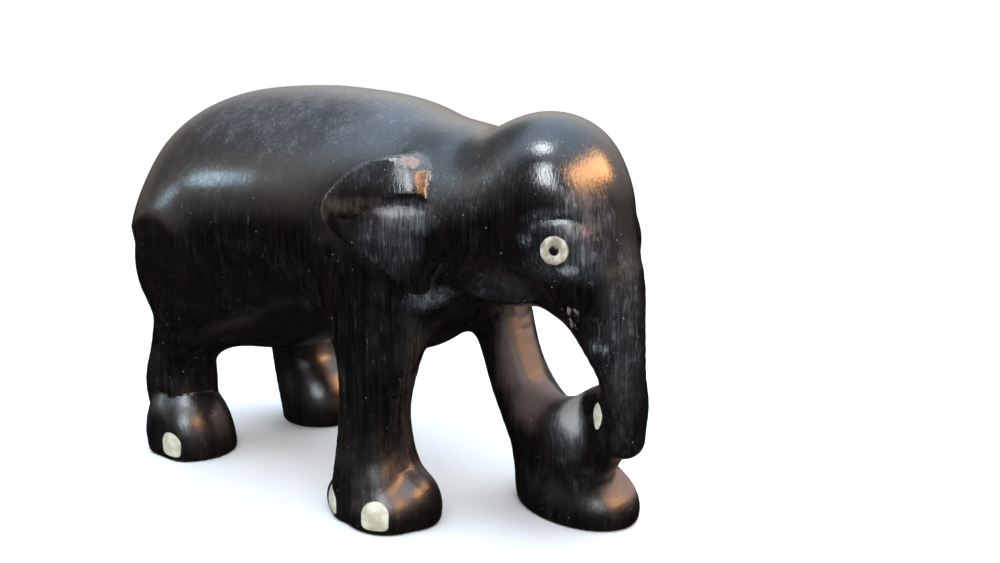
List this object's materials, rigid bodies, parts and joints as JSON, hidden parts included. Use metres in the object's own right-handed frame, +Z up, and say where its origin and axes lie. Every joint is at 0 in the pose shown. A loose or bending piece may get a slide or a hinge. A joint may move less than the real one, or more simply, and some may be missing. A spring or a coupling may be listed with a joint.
{
  "type": "elephant sculpture",
  "caption": "Small walking elephant carved from near-black hardwood, with inlaid bone eyes and toenails. Stands freely on its flat soles.",
  "frame": {"origin": "middle of the bounding box at the level of the soles", "axes": "+X toward the head, the longest way; +Y toward the elephant's own left; +Z up"},
  "size_m": [0.1064, 0.044, 0.0651],
  "materials": {
    "ebony": "near-black hardwood, waxed and polished, worn brown on the legs and dusty grey on the back",
    "bone": null,
    "black_peg": "black wooden peg, polished"
  },
  "bodies": {
    "root": {"elephant": "ebony", "eye_right": "bone", "eye_left": "bone", "pupil_right": "black_peg", "pupil_left": "black_peg", "nail_fore_right_a": "bone", "nail_fore_right_b": "bone", "nail_hind_right": "bone", "nail_fore_left_a": "bone", "nail_fore_left_b": "bone", "nail_hind_left": "bone", "oval_web": "bone"}
  },
  "joints": []
}
